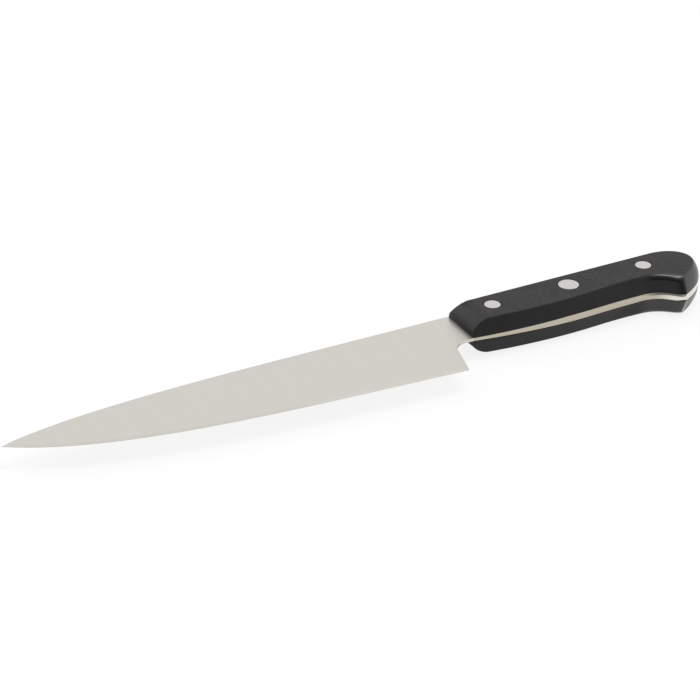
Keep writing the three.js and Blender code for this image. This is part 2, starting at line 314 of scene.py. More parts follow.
class KnifeFinish(PropertyGroup):
    """Colours of the finishes."""

    steel_light: colour("Steel, light", (0.677, 0.652, 0.607), "Crests of the grind lines on the blade")
    steel_dark: colour("Steel, dark", (0.624, 0.600, 0.558), "Hollows of the grind lines on the blade")
    honed_light: colour("Honed edge, light", (0.648, 0.624, 0.58), "Sharpened bevel")
    honed_dark: colour("Honed edge, dark", (0.59, 0.568, 0.528), "Lines of the hone on the bevel")
    honed_heel: colour("Honed edge, heel", (0.66, 0.635, 0.592), "The same towards the heel")
    rim_light: colour("Rim, light", (0.543, 0.497, 0.410), "Ground rim of the tang")
    rim_dark: colour("Rim, dark", (0.451, 0.408, 0.331), "Lines along the rim of the tang")
    rim_bright: colour("Rim, bright", (0.76, 0.73, 0.66), "The same, polished at the hook and the butt")
    rivet_light: colour("Rivet, light", (0.669, 0.648, 0.627), "Crests of the grind lines on the rivets")
    rivet_dark: colour("Rivet, dark", (0.575, 0.559, 0.538), "Hollows of the grind lines on the rivets")
    polymer_light: colour("Polymer, light", (0.0260, 0.0224, 0.0226), "Paler places of the scales")
    polymer_dark: colour("Polymer, dark", (0.0072, 0.0062, 0.0063), "Darker places of the scales")
    # The walls' colours are darker than the outer face's polymer: painted shade of the side walls, over the
    # real lines of their grinding
    shaded_wall_pale: colour("Wall, light", (0.0112, 0.0108, 0.0106), "Paler lines of the scales' ground walls")
    shaded_wall_dark: colour("Wall, dark", (0.0034, 0.0033, 0.0034), "Darker lines of the scales' ground walls")


class KnifeStudio(PropertyGroup):
    """Camera, floor and light."""

    azimuth: slope("Azimuth", -29.412, "Camera's turn round the knife")
    elevation: slope("Elevation", 28.562, "Camera's height above the floor's plane")
    roll: slope("Roll", 0.905, "Camera's turn round its own axis")
    distance: length("Distance", 1520, "Camera to the point that it looks at")
    aim_x: length("Aim along", -65.64, "That point, from the front rivet along the knife")
    aim_y: length("Aim across", 5.769, "That point, from the rivet line towards the spine")
    lens: number("Lens", 186.928, "Focal length in millimetres on a 36 mm sensor")
    world_light: number("World light", 1.0, "Strength of the light from the back and the top")
    world_dark: number("World dark", 0.2, "Strength of the light from the camera's side")
    dark_towards: direction("Dark side", (-0.68, -0.7, 0.15), "Direction of the tent's dark side")
    dark_start: number("Dark start", 0.2, "Cosine to the dark side where the tent starts to darken")
    dark_end: number("Dark end", 0.9, "Cosine to the dark side where the tent is darkest")
    key_towards: direction("Key direction", (0.25, 0, 1), "Direction of the soft lamp")
    key_energy: number("Key energy", 2.4, "Power of the soft lamp in watts")
    key_size: length("Key size", 380, "Side of the soft lamp")
    fill_towards: direction("Fill direction", (-0.32, 0.75, 0.58), "Direction of the second soft lamp")
    fill_energy: number("Fill energy", 1.6, "Power of the second soft lamp in watts")
    fill_size: length("Fill size", 500, "Side of the second soft lamp")
    lamp_distance: length("Lamp distance", 900, "Soft lamps to the middle of the knife")
    floor_size: length("Floor size", 8000, "Side of the floor")
    floor_white: number("Floor white", 0.85, "Share of plain white in the floor as it is seen")
    floor_colour: colour("Floor", (0.9, 0.9, 0.9), "Floor under the knife's shadow")


# Curves of the plan


def mix(a, b, share):
    """The value that lies that share of the way from a to b."""
    return a + (b - a) * share


def share_of(start, end, value):
    """How far value lies from start to end, from 0 to 1."""
    return min(max((value - start) / (end - start), 0.0), 1.0)


def eased_share(start, end, value):
    """The same, with a smooth start and end."""
    share = share_of(start, end, value)
    return share * share * (3 - 2 * share)


def cubic(start, lead, pull, end, steps, crowding=1.0):
    """Points of a cubic curve. Crowding over 1 brings them closer together at its start."""
    points = []
    for i in range(steps + 1):
        t = (i / steps) ** crowding
        s = 1 - t
        points.append(start * s**3 + lead * (3 * t * s * s) + pull * (3 * t * t * s) + end * t**3)
    return points


def straight(start, end, steps):
    """Points of a straight line."""
    return [start.lerp(end, i / steps) for i in range(steps + 1)]


def rounded(before, corner, after, radius, steps):
    """Points of the arc that rounds a corner."""
    back = (before - corner).normalized()
    ahead = (after - corner).normalized()
    half = math.acos(max(-1.0, min(1.0, back.dot(ahead)))) / 2
    centre = corner + (back + ahead).normalized() * (radius / math.sin(half))
    first = corner + back * (radius / math.tan(half)) - centre
    last = corner + ahead * (radius / math.tan(half)) - centre
    start = math.atan2(first.y, first.x)
    turn = math.atan2(first.x * last.y - first.y * last.x, first.dot(last))
    angles = [start + turn * i / steps for i in range(steps + 1)]
    return [centre + heading(angle) * radius for angle in angles]


def height_at(points, x):
    """Height of a curve at a place along the knife. Its points run towards +X."""
    after = bisect.bisect_left([point.x for point in points], x)
    if after <= 0:
        return points[0].y
    if after >= len(points):
        return points[-1].y
    low, high = points[after - 1], points[after]
    return mix(low.y, high.y, share_of(low.x, high.x, x))


def heading(angle):
    """Direction in the plan at an angle to the knife's length."""
    return Vector((math.cos(angle), math.sin(angle)))


def belly_depth(handle, x, lean):
    """Depth of the belly between the front end and its fullest place, a parabola with its crown there."""
    front = handle.belly_front - handle.belly_front_draft * lean
    full = handle.belly_full - handle.belly_full_draft * lean
    away = (handle.belly_reach - x) / (handle.belly_reach + handle.scale_front)
    return full - (full - front) * away * away


def handle_curves(blade, handle, lean):
    """Waist, hook and butt curves. lean is 0 at the tang and 1 at the scale's outer face."""
    full = -(handle.belly_full - handle.belly_full_draft * lean)
    waist = -(handle.waist_drop - handle.waist_draft * lean)
    spine = blade.spine_height - handle.spine_draft * lean
    corner = Vector((
        handle.hook_reach + handle.hook_shift * lean,
        handle.hook_draft * lean - handle.hook_drop,
    ))
    lead = handle.butt_lead - handle.butt_draft * lean
    butt = corner + lead * heading(handle.butt_angle)
    toe = corner + Vector((-handle.hook_toe_lead, handle.hook_toe_rise))
    waist_start = Vector((handle.belly_reach, full))
    waist_end = Vector((handle.waist_reach, waist))
    waist_curve = cubic(
        waist_start,
        waist_start + Vector((handle.waist_lead, 0)),
        waist_end - Vector((handle.waist_lead, 0)),
        waist_end,
        CURVE_STEPS,
    )
    hook_curve = cubic(waist_end, waist_end + Vector((handle.hook_root_lead, 0)), toe, corner, CURVE_STEPS)
    crown = Vector((handle.spine_end, spine))
    butt_curve = cubic(corner, butt, crown + Vector((handle.crown_lead, 0)), crown, BUTT_STEPS)
    return waist_curve, hook_curve, butt_curve


def face_height(handle, x):
    """Height of a scale's outer face above the middle plane."""
    rise = (handle.rear_thickness - handle.front_thickness) / (handle.hook_reach + handle.scale_front)
    return (handle.front_thickness + rise * (x + handle.scale_front)) / 2


class SteelPlan:
    """Outline and grind of the steel, from its settings."""

    def __init__(self, blade, handle):
        self.blade, self.handle = blade, handle
        tip = Vector((-blade.tip_reach, blade.spine_height - blade.tip_drop))
        heel = Vector((-blade.heel_reach, -blade.heel_drop))
        neck = Vector((-handle.scale_front, -handle.belly_front))
        corner = Vector((heel.x + blade.heel_set_back, neck.y))
        edge_end = heel - Vector((blade.heel_radius, 0))
        self.edge = cubic(
            tip,
            tip + Vector((blade.edge_tip_lead, -blade.edge_tip_depth)),
            edge_end + Vector((-blade.edge_heel_lead, blade.edge_heel_rise)),
            edge_end,
            EDGE_STEPS,
            TIP_CROWDING,
        )
        spine_start = Vector((-blade.spine_straight, blade.spine_height))
        self.spine = cubic(
            tip,
            tip + Vector((blade.spine_tip_lead, blade.spine_tip_rise)),
            spine_start - Vector((blade.spine_fall_lead, 0)),
            spine_start,
            SPINE_STEPS,
            TIP_CROWDING,
        )
        waist, hook, butt = handle_curves(blade, handle, 0)
        belly = []
        for i in range(1, CURVE_STEPS + 1):
            x = mix(neck.x, handle.belly_reach, i / CURVE_STEPS)
            belly.append(Vector((x, -belly_depth(handle, x, 0))))
        end = max(range(len(butt)), key=lambda i: butt[i].x)
        heel_arc = rounded(edge_end, heel, corner, blade.heel_radius, ARC_STEPS)
        choil_arc = rounded(heel, corner, neck, blade.choil_radius, CHOIL_STEPS)
        heel_line = straight(heel_arc[-1], choil_arc[0], HEEL_STEPS)[1:-1]
        neck_line = straight(choil_arc[-1], neck, ARC_STEPS)[1:]
        self.lower = self.edge + heel_arc[1:] + heel_line + choil_arc + neck_line + belly
        self.lower += waist[1:] + hook[1:] + butt[1 : end + 1]
        self.upper = self.spine + butt[: end - 1 : -1]
        self.edge_end = edge_end.x

    def bevel_width(self, low, high):
        """Width of the sharpened bevel on a blade that is that high."""
        return min(self.blade.bevel, (high - low) * BEVEL_SHARE)

    def half_thickness(self, x, y):
        """Half the steel's thickness at a place of its plan."""
        blade, handle = self.blade, self.handle
        taper = share_of(-blade.tip_reach, -handle.scale_front, x)
        run_out = share_of(-handle.scale_front, blade.grind_end, x)
        low, high = height_at(self.edge, x), height_at(self.spine, x)
        bevel = self.bevel_width(low, high)
        shoulder = mix(blade.edge, blade.shoulder, bevel / blade.bevel)
        at_shoulder = mix(shoulder, blade.tang, run_out)
        at_spine = mix(mix(blade.tip, blade.spine, taper), blade.tang, run_out)
        if y < low + bevel:
            thickness = mix(blade.edge, at_shoulder, share_of(low, low + bevel, y))
        else:
            thickness = mix(at_shoulder, at_spine, share_of(low + bevel, high, y))
        return thickness / 2 * mix(POINT_SHARE, 1.0, share_of(0, blade.point, high - low))

    def crown(self, x, low, high):
        """Crown of the tang's rim at a place along the knife. The blade's own rims are flat."""
        blade, handle = self.blade, self.handle
        behind = share_of(-handle.scale_front, 0, x)
        hooked = eased_share(handle.waist_reach - CROWN_BLEND, handle.waist_reach + CROWN_BLEND, x)
        ended = eased_share(handle.hook_reach - CORNER_BLEND, handle.hook_reach + CORNER_BLEND, x)
        crown = mix(mix(blade.rim_crown, blade.hook_crown, hooked), blade.butt_crown, ended)
        return min(crown * behind, (high - low) * RIM_SHARE)

    def proud(self, x):
        """How far the tang stands out of the scales at a place along the knife."""
        handle = self.handle
        hooked = eased_share(handle.waist_reach + PROUD_START, handle.waist_reach + PROUD_FULL, x)
        ended = eased_share(handle.hook_reach, handle.hook_reach + PROUD_END, x)
        return self.blade.hook_proud * hooked * ended

    def section(self, x, low, high):
        """Half section at a place along the knife, from the middle of the lower rim to that of the upper."""
        blade = self.blade
        at_low, at_high = self.half_thickness(x, low), self.half_thickness(x, high)
        ease_low = min(blade.eased, at_low / 2, (high - low) * RIM_SHARE)
        ease_high = min(blade.eased, at_high / 2, (high - low) * RIM_SHARE)
        crown = self.crown(x, low, high)
        edge_y, spine_y = height_at(self.edge, x), height_at(self.spine, x)
        shoulder = max(edge_y + self.bevel_width(edge_y, spine_y), low + crown + 2 * ease_low)
        top = high - crown - ease_high
        across = [i / RIM_ROWS for i in range(RIM_ROWS + 1)]
        flank = [low + crown + ease_low]
        flank += [mix(shoulder, top, i / FLANK_ROWS) for i in range(FLANK_ROWS + 1)]
        points = [(low + crown * s * s, (at_low - ease_low) * s) for s in across]
        points += [(y, self.half_thickness(x, y)) for y in flank]
        points += [(high - crown * s * s, (at_high - ease_high) * s) for s in reversed(across)]
        return points


# Modelling


def select_only(piece):
    """Leaves that piece alone selected and active."""
    bpy.ops.object.select_all(action="DESELECT")
    piece.select_set(True)
    bpy.context.view_layer.objects.active = piece


def apply_modifier(piece, kind, **values):
    """Adds a modifier and applies it."""
    select_only(piece)
    modifier = piece.modifiers.new(kind.lower(), kind)
    for name, value in values.items():
        setattr(modifier, name, value)
    bpy.ops.object.modifier_apply(modifier=modifier.name)


def place_selected(piece, before, after):
    """Moves the selected corners of a ring from their places before to those after."""
    mesh = bmesh.from_edit_mesh(piece.data)
    target = dict(zip(before, after))
    for vertex in mesh.verts:
        if vertex.select:
            vertex.co = target[tuple(vertex.co)]
    bmesh.update_edit_mesh(piece.data)
    return [tuple(point) for point in after]


def stack_rings(name, rings):
    """A closed body over rings of corners: a filled circle that is extruded from ring to ring."""
    bpy.ops.object.select_all(action="DESELECT")
    bpy.ops.mesh.primitive_circle_add(vertices=len(rings[0]), radius=1, fill_type="NGON")
    piece = bpy.context.object
    piece.name = piece.data.name = name
    for vertex, point in zip(piece.data.vertices, rings[0]):
        vertex.co = point
    here = [tuple(vertex.co) for vertex in piece.data.vertices]
    bpy.ops.object.mode_set(mode="EDIT")
    bpy.ops.mesh.select_mode(type="FACE")
    bpy.ops.mesh.select_all(action="SELECT")
    for ring in rings[1:]:
        bpy.ops.mesh.extrude_region_move(TRANSFORM_OT_translate={"value": (0, 0, 0)})
        here = place_selected(piece, here, ring)
    bpy.ops.mesh.select_all(action="SELECT")
    bpy.ops.mesh.normals_make_consistent(inside=False)
    bpy.ops.object.mode_set(mode="OBJECT")
    return piece


def select_caps(piece, sides, upward):
    """In edit mode, selects the end faces with that many sides which look up, or down."""
    bpy.ops.mesh.select_all(action="DESELECT")
    mesh = bmesh.from_edit_mesh(piece.data)
    for face in mesh.faces:
        if len(face.verts) >= sides and (face.normal.z > 0) == upward:
            face.select_set(True)
    bmesh.update_edit_mesh(piece.data)


def inset_caps(piece, sides, upward, thickness):
    """Insets the end faces that look up, or down."""
    select_only(piece)
    bpy.ops.object.mode_set(mode="EDIT")
    bpy.ops.mesh.select_mode(type="FACE")
    select_caps(piece, sides, upward)
    bpy.ops.mesh.inset(thickness=thickness, depth=0)
    bpy.ops.object.mode_set(mode="OBJECT")


def split_caps(piece):
    """Splits the end faces into triangles, so that they can be cut."""
    select_only(piece)
    bpy.ops.object.mode_set(mode="EDIT")
    bpy.ops.mesh.select_all(action="DESELECT")
    bpy.ops.mesh.select_face_by_sides(number=4, type="GREATER")
    bpy.ops.mesh.quads_convert_to_tris(ngon_method="BEAUTY")
    bpy.ops.object.mode_set(mode="OBJECT")


def cut(piece, cutters):
    """Cuts the cutters out of a piece, and deletes them."""
    for cutter in cutters:
        apply_modifier(piece, "BOOLEAN", operation="DIFFERENCE", solver="EXACT", object=cutter)
        bpy.data.objects.remove(cutter)


def circle(x, radius, z):
    """Corners of a ring round a rivet's axis."""
    turns = [2 * math.pi * i / ROUND_SIDES for i in range(ROUND_SIDES)]
    return [Vector((x + radius * math.cos(turn), radius * math.sin(turn), z)) for turn in turns]


def turned(name, x, profile):
    """A body turned round a rivet's axis from pairs of radius and height."""
    return stack_rings(name, [circle(x, radius, z) for radius, z in profile])


def quarter_turn(steps):
    """Angles of a quarter turn, from 0 up."""
    return [math.radians(90 * i / steps) for i in range(steps + 1)]


def head_radius(rivets, place):
    """Radius of the heads of the rivet at that place."""
    return rivets.middle_head if place == "middle" else rivets.outer_head


def settle(piece, node):
    """Puts a finished piece in the frame, in place of its CAD node."""
    select_only(piece)
    piece.location = ORIGIN
    bpy.ops.object.transform_apply(location=True, rotation=False, scale=False)
    bpy.ops.object.mode_set(mode="EDIT")
    bpy.ops.mesh.select_all(action="SELECT")
    bpy.ops.mesh.remove_doubles(threshold=MERGE_DISTANCE)
    bpy.ops.object.mode_set(mode="OBJECT")
    bpy.ops.object.shade_smooth_by_angle(angle=SMOOTH_ANGLE, keep_sharp_edges=True)
    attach(piece, "root")
    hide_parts(node)


# Finishes


def socket_group(name, inputs, output):
    """A new shader node group with those inputs and one value put out."""
    group = bpy.data.node_groups.new(name, "ShaderNodeTree")
    for label, kind, value in inputs:
        socket = group.interface.new_socket(label, in_out="INPUT", socket_type=kind)
        if value is not None:
            socket.default_value = value
    group.interface.new_socket(output, in_out="OUTPUT", socket_type="NodeSocketFloat")
    return group, group.nodes.new("NodeGroupInput"), group.nodes.new("NodeGroupOutput")


def add_node(tree, kind, **values):
    """A node with its properties set."""
    node = tree.nodes.new(kind)
    for name, value in values.items():
        setattr(node, name, value)
    return node


def noise(tree, vector, scale, detail, roughness):
    """Noise over a vector."""
    node = add_node(tree, "ShaderNodeTexNoise", noise_dimensions="3D")
    node.inputs["Scale"].default_value = scale
    node.inputs["Detail"].default_value = detail
    node.inputs["Roughness"].default_value = roughness
    tree.links.new(vector, node.inputs["Vector"])
    return node.outputs[0]


def arithmetic(tree, operation, *terms):
    """A sum or other operation on values and sockets."""
    node = add_node(tree, "ShaderNodeMath", operation=operation)
    for socket, term in zip(node.inputs, terms):
        if isinstance(term, (int, float)):
            socket.default_value = term
        else:
            tree.links.new(term, socket)
    return node.outputs[0]


def weighed(tree, first, share, second, other_share):
    """The sum of two values, each times its share."""
    return arithmetic(tree, "MULTIPLY_ADD", first, share, arithmetic(tree, "MULTIPLY", second, other_share))


def chosen(tree, share, first, second):
    """The first value where the share is 0, and the second where it is 1."""
    return arithmetic(tree, "MULTIPLY_ADD", arithmetic(tree, "SUBTRACT", second, first), share, first)


def ranged(tree, value, low, high, to_low, to_high):
    """A value carried from one range to another, with a smooth start and end."""
    node = add_node(tree, "ShaderNodeMapRange", interpolation_type="SMOOTHSTEP")
    for socket, limit in zip(node.inputs[1:5], (low, high, to_low, to_high)):
        socket.default_value = limit
    tree.links.new(value, node.inputs[0])
    return node.outputs[0]


def multiplied(group, entry):
    """The vector that goes into a group, times the value that goes in with it."""
    vector = add_node(group, "ShaderNodeVectorMath", operation="SCALE")
    group.links.new(entry.outputs[0], vector.inputs[0])
    group.links.new(entry.outputs[1], vector.inputs["Scale"])
    return vector.outputs[0]


def grind_lines_group(name):
    """Fine lines that a belt or wheel leaves, with broader ones among them."""
    inputs = [("Vector", "NodeSocketVector", None), ("Lines per metre", "NodeSocketVector", (1, 1, 1))]
    group, entry, leave = socket_group(name, inputs, "Lines")
    fine_vector = add_node(group, "ShaderNodeVectorMath", operation="MULTIPLY")
    group.links.new(entry.outputs[0], fine_vector.inputs[0])
    group.links.new(entry.outputs[1], fine_vector.inputs[1])
    broad_vector = add_node(group, "ShaderNodeVectorMath", operation="SCALE")
    broad_vector.inputs["Scale"].default_value = BROAD_LINES
    group.links.new(fine_vector.outputs[0], broad_vector.inputs[0])
    fine = noise(group, fine_vector.outputs[0], scale=1, detail=3, roughness=0.65)
    broad = noise(group, broad_vector.outputs[0], scale=1, detail=2, roughness=0.5)
    lines = weighed(group, fine, 0.6, broad, 0.4)
    group.links.new(ranged(group, lines, 0.3, 0.7, 0, 1), leave.inputs[0])
    return group


def haze_group(name):
    """Soft cloudy variation, as wiping and handling leave it."""
    inputs = [("Vector", "NodeSocketVector", None), ("Clouds per metre", "NodeSocketFloat", 40)]
    group, entry, leave = socket_group(name, inputs, "Haze")
    clouds = noise(group, multiplied(group, entry), scale=1, detail=4, roughness=0.55)
    group.links.new(ranged(group, clouds, 0.32, 0.68, 0, 1), leave.inputs[0])
    return group


def grain_group(name):
    """Fine pebbled grain of a moulded surface."""
    inputs = [("Vector", "NodeSocketVector", None), ("Grains per metre", "NodeSocketFloat", 2000)]
    group, entry, leave = socket_group(name, inputs, "Grain")
    vector = multiplied(group, entry)
    pebbles = add_node(group, "ShaderNodeTexVoronoi", feature="SMOOTH_F1")
    pebbles.inputs["Scale"].default_value = 1
    group.links.new(vector, pebbles.inputs["Vector"])
    speckle = noise(group, vector, scale=0.6, detail=3, roughness=0.6)
    grain = weighed(group, pebbles.outputs["Distance"], 0.5, speckle, 0.6)
    group.links.new(ranged(group, grain, 0.25, 0.75, 0, 1), leave.inputs[0])
    return group


SHARED_GROUPS = {"Grind lines": grind_lines_group, "Haze": haze_group, "Moulded grain": grain_group}


def placed_group(tree, name, vector, value):
    """A shared group in a material, over a vector and with its own value. It is made the first time."""
    group = bpy.data.node_groups.get(name) or SHARED_GROUPS[name](name)
    node = add_node(tree, "ShaderNodeGroup", node_tree=group)
    tree.links.new(vector, node.inputs[0])
    node.inputs[1].default_value = value
    return node.outputs[0]


def new_material(name, metallic, specular):
    """A material with a Principled shader and the piece's Object coordinates."""
    material = bpy.data.materials.new(name)
    material.use_nodes = True
    tree = material.node_tree
    tree.nodes.clear()
    shader = add_node(tree, "ShaderNodeBsdfPrincipled")
    shader.inputs["Metallic"].default_value = metallic
    shader.inputs["Specular IOR Level"].default_value = specular
    leave = add_node(tree, "ShaderNodeOutputMaterial")
    tree.links.new(shader.outputs[0], leave.inputs[0])
    place = add_node(tree, "ShaderNodeTexCoord")
    return material, tree, shader, place.outputs["Object"]


def two_tone(tree, share, dark, light):
    """A colour between two, by a share."""
    node = add_node(tree, "ShaderNodeMix", data_type="RGBA")
    tree.links.new(share, node.inputs["Factor"])
    node.inputs[6].default_value = (*dark, 1)
    node.inputs[7].default_value = (*light, 1)
    return node.outputs[2]


def bump(tree, shader, height, distance, strength):
    """Relief of a surface, in metres."""
    node = add_node(tree, "ShaderNodeBump")
    node.inputs["Distance"].default_value = distance
    node.inputs["Strength"].default_value = strength
    tree.links.new(height, node.inputs["Height"])
    tree.links.new(node.outputs[0], shader.inputs["Normal"])


def split_place(tree, place):
    """The three coordinates of a place."""
    split = add_node(tree, "ShaderNodeSeparateXYZ")
    tree.links.new(place, split.inputs[0])
    return split.outputs


def along_knife(tree, place, start, end, to_start, to_end):
    """A value that changes along the knife, between two places behind the front rivet."""
    along = split_place(tree, place)["X"]
    return ranged(tree, along, ORIGIN.x + start, ORIGIN.x + end, to_start, to_end)


def ground_steel(name, grind, dark, light, polished=None):
    """Steel with the lines of its grinding. polished is a colour and the places where it takes over."""
    lines_per_metre, smooth, rough, relief = grind
    material, tree, shader, place = new_material(name, metallic=1.0, specular=0.5)
    lines = placed_group(tree, "Grind lines", place, lines_per_metre)
    haze = placed_group(tree, "Haze", place, STEEL_HAZE)
    base = two_tone(tree, weighed(tree, haze, 0.25, lines, 0.75), dark, light)
    if polished:
        bright, start, end = polished
        shine = two_tone(tree, along_knife(tree, place, start, end, 0, 1), dark, bright)
        tree.links.new(base, shine.node.inputs[6])
        base = shine
    tree.links.new(base, shader.inputs["Base Color"])
    dull = weighed(tree, haze, 0.4, lines, 0.6)
    tree.links.new(ranged(tree, dull, 0, 1, smooth, rough), shader.inputs["Roughness"])
    bump(tree, shader, lines, relief, STEEL_RELIEF)
    return material


def moulded_polymer(finish):
    """Black polymer as it comes from the mould, on the outer faces and the ramps."""
    material, tree, shader, place = new_material("moulded_polymer", metallic=0.0, specular=0.2)
    haze = placed_group(tree, "Haze", place, POLYMER_HAZE)
    grain = placed_group(tree, "Moulded grain", place, POLYMER_GRAIN)
    tone = weighed(tree, haze, 0.4, grain, 0.6)
    base = two_tone(tree, ranged(tree, tone, 0.3, 0.7, 0, 1), finish.polymer_dark, finish.polymer_light)
    tree.links.new(base, shader.inputs["Base Color"])
    tree.links.new(ranged(tree, tone, 0.1, 0.9, *POLYMER_ROUGHNESS), shader.inputs["Roughness"])
    bump(tree, shader, grain, GRAIN_RELIEF, POLYMER_RELIEF)
    return material


def shaded_ground_polymer(finish, handle):
    """Black polymer where it is ground flush with the tang, and polished at the hook and the butt. Its base
    colour is painted shade, darker than the outer face's, with the real grind lines in it.
    """
    material, tree, shader, place = new_material("shaded_ground_polymer", metallic=0.0, specular=0.28)
    lines = placed_group(tree, "Grind lines", place, WALL_LINES)
    haze = placed_group(tree, "Haze", place, POLYMER_HAZE)
    tone = weighed(tree, haze, 0.3, lines, 0.7)
    # Base colour of the walls: real grind lines, darkened as painted shade
    tree.links.new(two_tone(tree, tone, finish.shaded_wall_dark, finish.shaded_wall_pale), shader.inputs["Base Color"])
    through = split_place(tree, place)["Z"]
    left = ranged(tree, through, ORIGIN.z - MM, ORIGIN.z + MM, 0, 1)
    curled, dull = wall_dullness(tree, place, handle, left)
    tree.links.new(arithmetic(tree, "MULTIPLY_ADD", tone, LINE_ROUGHNESS, dull), shader.inputs["Roughness"])
    height = arithmetic(tree, "ABSOLUTE", arithmetic(tree, "SUBTRACT", through, ORIGIN.z))
    coat = wall_coat(tree, place, handle, left, curled, height)
    tree.links.new(coat, shader.inputs["Coat Weight"])
    shader.inputs["Coat Roughness"].default_value = COAT_ROUGHNESS
    bump(tree, shader, lines, WALL_RELIEF, POLYMER_RELIEF)
    return material


def change_from(tree, place, reach):
    """A function for values that change along the knife between two places in millimetres from a reach."""

    def change(start, end, to_start, to_end):
        return along_knife(tree, place, reach + start * MM, reach + end * MM, to_start, to_end)

    return change


def wall_dullness(tree, place, handle, left):
    """Where the right wall curls into the hook, and the roughness of both walls, which falls towards it."""
    from_waist = change_from(tree, place, handle.waist_reach)
    curled = from_waist(-3, 6, 0, 1)
    left_dull = from_waist(-30, 0, DULL_WALL, GLOSSY_WALL)
    right_dull = arithmetic(tree, "MULTIPLY_ADD", curled, GLOSSY_WALL - DULL_WALL, DULL_WALL)
    return curled, chosen(tree, left, right_dull, left_dull)


def wall_coat(tree, place, handle, left, curled, height):
    """Polish of the left wall's rounding in the hollow and of its butt, and of the right wall's hollow."""
    from_waist = change_from(tree, place, handle.waist_reach)
    from_corner = change_from(tree, place, handle.hook_reach)
    hollow = arithmetic(tree, "MULTIPLY", from_waist(3, 13, 0, HOLLOW_COAT), from_corner(-3, 2, 1, 0))
    deep, shallow = (handle.rear_thickness / 2 - depth for depth in HOLLOW_COAT_DEPTHS)
    hollow = arithmetic(tree, "MULTIPLY", hollow, ranged(tree, height, deep, shallow, 0, 1))
    butt = arithmetic(tree, "MULTIPLY", from_corner(0, 1.5, 0, 1), from_corner(1, 12, *BUTT_COAT))
    left_coat = arithmetic(tree, "ADD", hollow, butt)
    under = arithmetic(tree, "MULTIPLY", curled, UNDER_COAT)
    right_coat = arithmetic(tree, "MULTIPLY", under, from_corner(0, 3, 1, 0))
    return chosen(tree, left, right_coat, left_coat)


# Pieces


class KNIFE_OT_steel(Operator):
    """Models the blade and its tang as one ground piece of steel"""

    bl_idname = "knife.steel"
    bl_label = "Blade and Tang"

    def execute(self, context):
        blade, handle = context.scene.knife_blade, context.scene.knife_handle
        rivets, finish = context.scene.knife_rivets, context.scene.knife_finish
        plan = SteelPlan(blade, handle)
        stations = self.stations(plan)
        sections = [plan.section(x, low, high) for x, low, high in stations]
        columns, rows = len(sections), len(sections[0])
        bpy.ops.object.select_all(action="DESELECT")
        bpy.ops.mesh.primitive_grid_add(x_subdivisions=columns - 1, y_subdivisions=rows - 1, size=2)
        piece = context.object
        piece.name = piece.data.name = "ground_blade"
        spots = []
        for vertex in piece.data.vertices:
            column = round((vertex.co.x + 1) / 2 * (columns - 1))
            row = round((vertex.co.y + 1) / 2 * (rows - 1))
            spots.append((column, row))
            vertex.co = (stations[column][0], *sections[column][row])
        self.share_finishes(piece, spots, stations, plan, rows)
        for material in self.finishes(finish, handle):
            piece.data.materials.append(material)
        apply_modifier(piece, "MIRROR", use_axis=(False, False, True), merge_threshold=LEAST_STEP)
        self.close_ends(piece)
        radius = rivets.sleeve + rivets.shank_clearance
        hole = [(radius, -blade.tang), (radius, blade.tang)]
        cut(piece, [turned("hole", i * rivets.spacing, hole) for i in range(len(RIVETS))])
        settle(piece, "blade_and_tang")
        return {"FINISHED"}

    def stations(self, plan):
        """Places along the knife with the lower and upper outline there."""
        found = []
        for point in plan.lower:
            high = height_at(plan.upper, point.x)
            if high - point.y > LEAST_HEIGHT and (not found or point.x - found[-1][0] > LEAST_STEP):
                found.append((point.x, point.y - plan.proud(point.x), high))
        return found

    def share_finishes(self, piece, spots, stations, plan, rows):
        """Gives the flanks, the honed edge and the ground rims their own finishes."""
        for face in piece.data.polygons:
            columns = [spots[i][0] for i in face.vertices]
            low = min(spots[i][1] for i in face.vertices)
            on_edge = stations[max(columns)][0] <= plan.edge_end
            if low >= rows - 2 - RIM_ROWS:
                face.material_index = 2
            elif on_edge and low <= RIM_ROWS + 1:
                face.material_index = 1
            elif low <= RIM_ROWS and stations[max(columns)][0] > -plan.handle.scale_front:
                face.material_index = 2
        marks = piece.data.attributes.new("sharp_edge", "BOOLEAN", "EDGE")
        for edge in piece.data.edges:
            first, second = edge.vertices
            on_edge = max(stations[spots[i][0]][0] for i in (first, second)) <= plan.edge_end
            marks.data[edge.index].value = on_edge and spots[first][1] == spots[second][1] == RIM_ROWS + 2

    def finishes(self, finish, handle):
        """Satin flanks, a honed edge and ground rims."""
        fading = (finish.honed_heel, *HONE_FADE)
        polished = (finish.rim_bright, handle.waist_reach + POLISH_INSET, handle.hook_reach - POLISH_INSET)
        return (
            ground_steel("satin_blade", SATIN_BLADE, finish.steel_dark, finish.steel_light),
            ground_steel("honed_edge", HONED_EDGE, finish.honed_dark, finish.honed_light, fading),
            ground_steel("ground_rim", GROUND_RIM, finish.rim_dark, finish.rim_light, polished),
        )

    def close_ends(self, piece):
        """Closes the small ends at the point and the butt."""
        bpy.ops.object.mode_set(mode="EDIT")
        bpy.ops.mesh.select_mode(type="EDGE")
        bpy.ops.mesh.select_all(action="DESELECT")
        bpy.ops.mesh.select_non_manifold(
            extend=False, use_wire=False, use_multi_face=False, use_non_contiguous=False, use_verts=False,
        )
        bpy.ops.mesh.fill_holes(sides=0)
        bpy.ops.mesh.select_all(action="SELECT")
        bpy.ops.mesh.normals_make_consistent(inside=False)
        bpy.ops.object.mode_set(mode="OBJECT")


